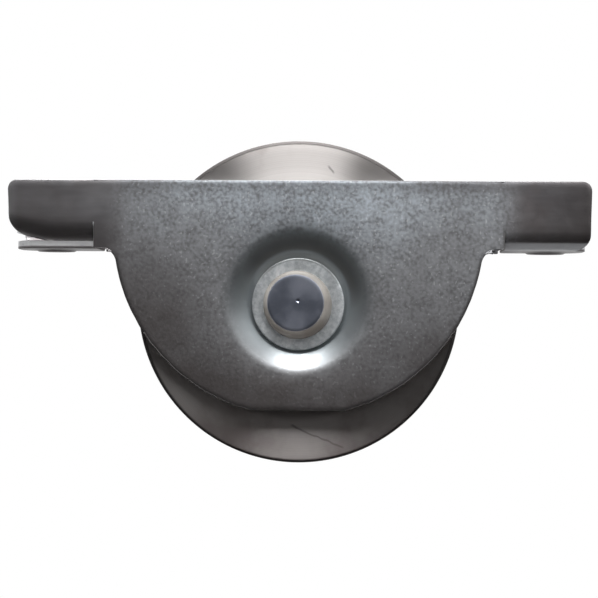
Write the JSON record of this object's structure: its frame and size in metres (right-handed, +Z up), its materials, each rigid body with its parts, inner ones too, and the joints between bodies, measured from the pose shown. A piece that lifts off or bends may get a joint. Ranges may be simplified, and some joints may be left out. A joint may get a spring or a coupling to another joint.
{
  "type": "door roller",
  "caption": "Recessed door roller: a grooved steel wheel on a shielded ball bearing, riveted between pressed half shells whose overlapping wing flanges take the fixing bolts.",
  "frame": {"origin": "midway between the two fixing holes, on the seating plane under the lower flanges", "axes": "+X along the wings, +Y along the axle from the front to the rear, +Z up to the rail side of the wheel"},
  "size_m": [0.145, 0.0264, 0.08],
  "materials": {
    "zinc_sheet": "zinc plated pressed sheet, fine speckle",
    "turned_steel": "turned, with fine circular marks",
    "bearing_steel": "ground",
    "ball_steel": "polished",
    "cage_steel": "pressed sheet, satin",
    "shield_steel": "pressed sheet, satin",
    "spring_steel": "dark phosphated",
    "axle_steel": "dark, with a bright formed edge",
    "washer_zinc": "zinc plated"
  },
  "bodies": {
    "bracket": {"front_shell": "zinc_sheet", "rear_shell": "zinc_sheet", "axle": "axle_steel", "front_washer": "washer_zinc", "rear_washer": "washer_zinc", "inner_ring": "bearing_steel"},
    "wheel": {"wheel": "turned_steel", "outer_ring": "bearing_steel", "shield_front": "shield_steel", "shield_rear": "shield_steel", "retaining_ring": "spring_steel"},
    "ball_cage": {"cage_front": "cage_steel", "cage_rear": "cage_steel", "cage_rivets": "cage_steel", "ball_1": "ball_steel", "ball_2": "ball_steel", "ball_3": "ball_steel", "ball_4": "ball_steel", "ball_5": "ball_steel", "ball_6": "ball_steel", "ball_7": "ball_steel", "ball_8": "ball_steel"}
  },
  "joints": [
    {"name": "wheel_spin", "type": "hinge", "parent": "bracket", "child": "wheel", "pos_m": [0, 0, -0.013], "axis": [0, 1, 0], "continuous": true},
    {"name": "cage_orbit", "type": "hinge", "parent": "bracket", "child": "ball_cage", "pos_m": [0, 0, -0.013], "axis": [0, 1, 0], "continuous": true}
  ],
  "couplings": [
    {"joint": "cage_orbit", "follows": "wheel_spin", "ratio": 0.61848}
  ]
}
